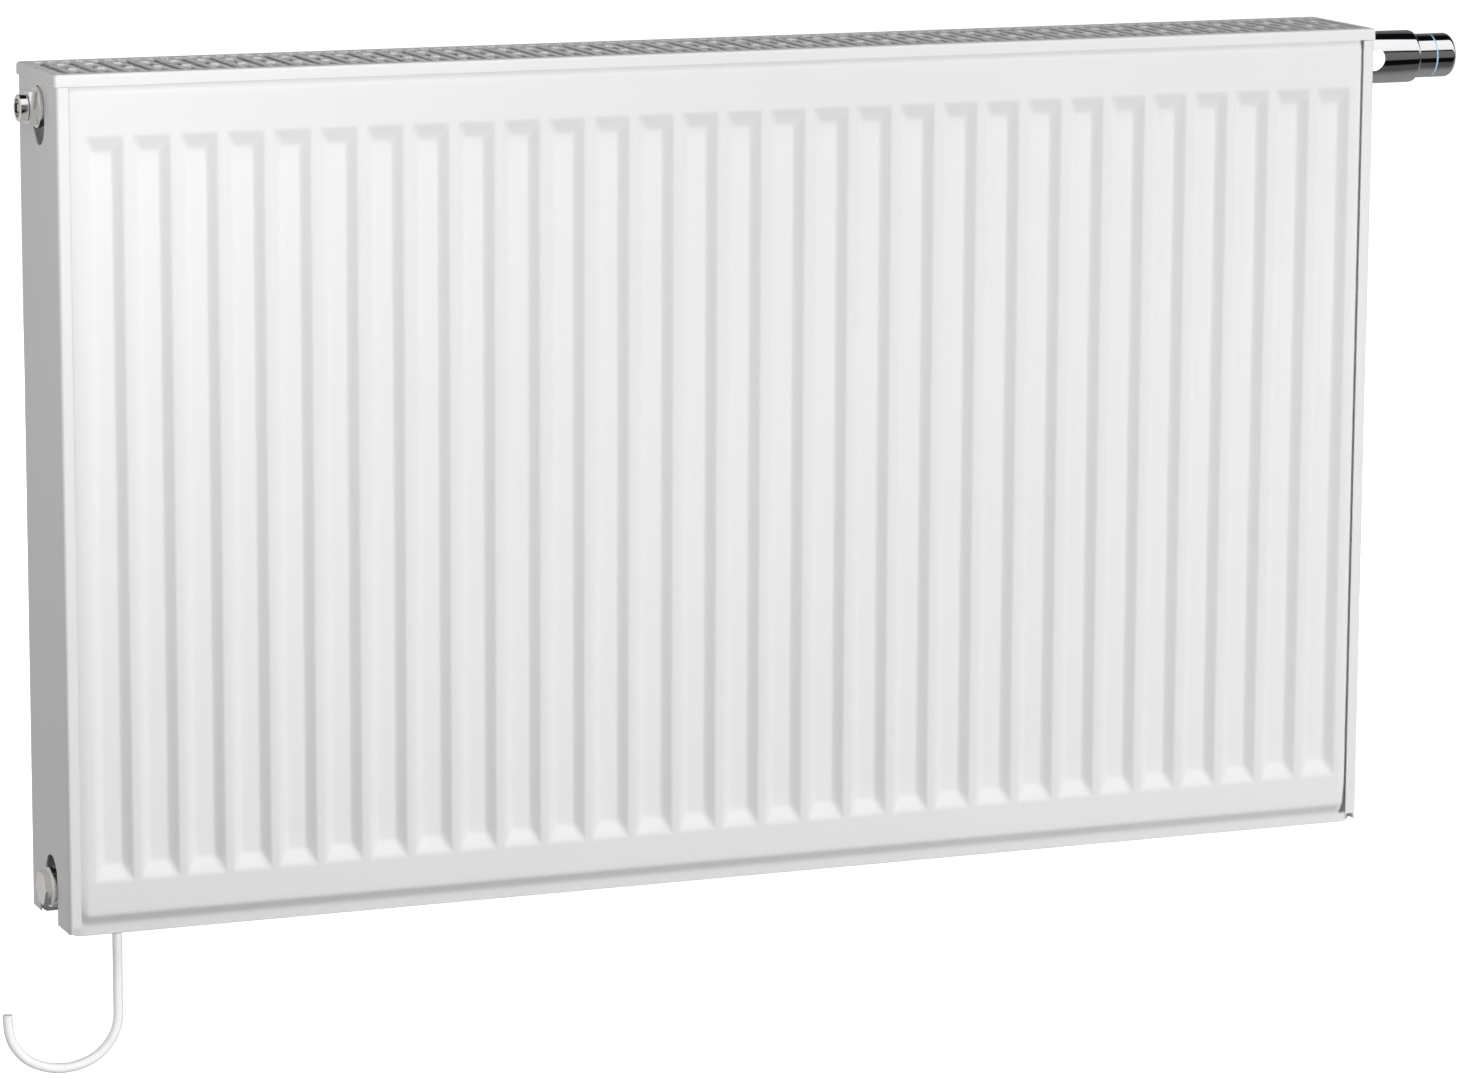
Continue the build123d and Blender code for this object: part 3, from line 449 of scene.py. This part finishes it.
# ---- Studio ---------------------------------------------------------------------------
FLOOR_Z = -0.60
FLOOR_HALF = 30
AMBIENT = 0.11
floor_mesh = bpy.data.meshes.new("floor")
floor_mesh.from_pydata([(x * FLOOR_HALF, y * FLOOR_HALF, FLOOR_Z)
                        for x, y in ((-1, -1), (1, -1), (1, 1), (-1, 1))], [], [(0, 1, 2, 3)])
floor = bpy.data.objects.new("floor", floor_mesh)
bpy.context.scene.collection.objects.link(floor)
floor_material, _, floor_shader = new_material("floor")
floor_shader.inputs["Base Color"].default_value = (0.9, 0.9, 0.9, 1)
floor_shader.inputs["Roughness"].default_value = 0.9
floor_shader.inputs["Emission Color"].default_value = (1, 1, 1, 1)
floor_shader.inputs["Emission Strength"].default_value = 1.0
floor_mesh.materials.append(floor_material)
floor.visible_glossy = False
floor.visible_diffuse = False


def studio_world():
    """A soft white room; bright metal sees its light and dark panels, by direction."""
    world = bpy.data.worlds.new("studio")
    bpy.context.scene.world = world
    world.use_nodes = True
    tree = world.node_tree
    tree.nodes.clear()
    output = tree.nodes.new("ShaderNodeOutputWorld")
    rays = tree.nodes.new("ShaderNodeLightPath")
    coords = tree.nodes.new("ShaderNodeTexCoord")
    axes = tree.nodes.new("ShaderNodeSeparateXYZ")
    tree.links.new(coords.outputs["Generated"], axes.inputs[0])
    forward = tree.nodes.new("ShaderNodeMath")
    forward.operation = "MULTIPLY"
    forward.inputs[1].default_value = -1
    tree.links.new(axes.outputs["Y"], forward.inputs[0])
    angle = tree.nodes.new("ShaderNodeMath")
    angle.operation = "ARCTAN2"
    tree.links.new(axes.outputs["Z"], angle.inputs[0])
    tree.links.new(forward.outputs[0], angle.inputs[1])
    turn = tree.nodes.new("ShaderNodeMapRange")
    turn.inputs["From Min"].default_value = -math.pi
    turn.inputs["From Max"].default_value = math.pi
    tree.links.new(angle.outputs[0], turn.inputs["Value"])
    ramp = tree.nodes.new("ShaderNodeValToRGB")
    bands = [(-180, 0.19), (-134, 0.27), (-85, 0.24), (-66, 0.13), (-60, 0.082), (-37, 0.075),
             (-33, 0.004), (-12, 0.004), (-9, 0.14), (23, 0.155), (25, 0.01), (30, 0.01),
             (33, 1.0), (86, 1.05), (89, 0.004), (127, 0.004), (133, 0.08), (160, 0.15),
             (180, 0.19)]
    stops = ramp.color_ramp.elements
    while len(stops) < len(bands):
        stops.new(0.5)
    for stop, (degrees, level) in zip(stops, bands):
        stop.position = (degrees + 180) / 360
        stop.color = (level, level, level * 1.01, 1)
    tree.links.new(turn.outputs[0], ramp.inputs[0])
    soft = tree.nodes.new("ShaderNodeBackground")
    soft.inputs["Color"].default_value = (1, 1, 1, 1)
    soft.inputs["Strength"].default_value = AMBIENT
    leftward = tree.nodes.new("ShaderNodeMapRange")
    leftward.inputs["From Min"].default_value = -0.05
    leftward.inputs["From Max"].default_value = -0.30
    tree.links.new(axes.outputs["X"], leftward.inputs["Value"])
    room = tree.nodes.new("ShaderNodeMixRGB")
    room.inputs["Color2"].default_value = (0.62, 0.61, 0.60, 1)
    tree.links.new(leftward.outputs[0], room.inputs["Fac"])
    tree.links.new(ramp.outputs[0], room.inputs["Color1"])
    banded = tree.nodes.new("ShaderNodeBackground")
    tree.links.new(room.outputs["Color"], banded.inputs["Color"])
    plain = tree.nodes.new("ShaderNodeBackground")
    plain.inputs["Color"].default_value = (1, 1, 1, 1)
    gloss = tree.nodes.new("ShaderNodeMixShader")
    tree.links.new(rays.outputs["Is Glossy Ray"], gloss.inputs[0])
    tree.links.new(soft.outputs[0], gloss.inputs[1])
    tree.links.new(banded.outputs[0], gloss.inputs[2])
    seen = tree.nodes.new("ShaderNodeMixShader")
    tree.links.new(rays.outputs["Is Camera Ray"], seen.inputs[0])
    tree.links.new(gloss.outputs[0], seen.inputs[1])
    tree.links.new(plain.outputs[0], seen.inputs[2])
    tree.links.new(seen.outputs[0], output.inputs[0])


def softbox(name, azimuth, elevation, distance, size, power):
    """A rectangular area light aimed at the object; azimuth 0 is the front, 90 the right."""
    light = bpy.data.lights.new(name, "AREA")
    light.shape = "RECTANGLE"
    light.size, light.size_y = size
    light.energy = power
    lamp = bpy.data.objects.new(name, light)
    bpy.context.scene.collection.objects.link(lamp)
    a, e = math.radians(azimuth), math.radians(elevation)
    lamp.location = (distance * math.sin(a) * math.cos(e),
                     -distance * math.cos(a) * math.cos(e), distance * math.sin(e))
    lamp.rotation_euler = (math.radians(90 - elevation), 0, a)
    lamp.visible_camera = False
    lamp.visible_glossy = False
    return lamp


def light_only(lamp, *lit):
    """Keeps a lamp's light to the given pieces."""
    group = bpy.data.collections.new(lamp.name + "_lights")
    for piece in lit:
        group.objects.link(piece)
    lamp.light_linking.receiver_collection = group


studio_world()
softbox("key", 27, 1, 3.75, (1.5, 0.9), 92)
softbox("corner", -45, 22, 1.1, (0.4, 0.4), 2.3)
softbox("left_fill", -120, -3, 2.5, (1.2, 0.7), 13.5)
softbox("overhead", 5, 66, 4.0, (2.2, 1.6), 40)
softbox("rear_fill", 160, 12, 4.5, (2.5, 2.0), 90)
lead_light = softbox("lead_light", -30, -4, 3.0, (1.2, 0.8), 30)
light_only(lead_light, lead)
# A white card in front of the valve, for the bright end that the chrome sleeve shows.
card = softbox("card", 0, 0, 0.088, (0.030, 0.051), 0.0058)
card.location = (0.516, -0.088, 0.2645)
card.visible_glossy = True
card.visible_diffuse = False
light_only(card, sleeve)

bpy.context.scene.view_settings.view_transform = "Standard"
bpy.context.scene.view_settings.look = "None"
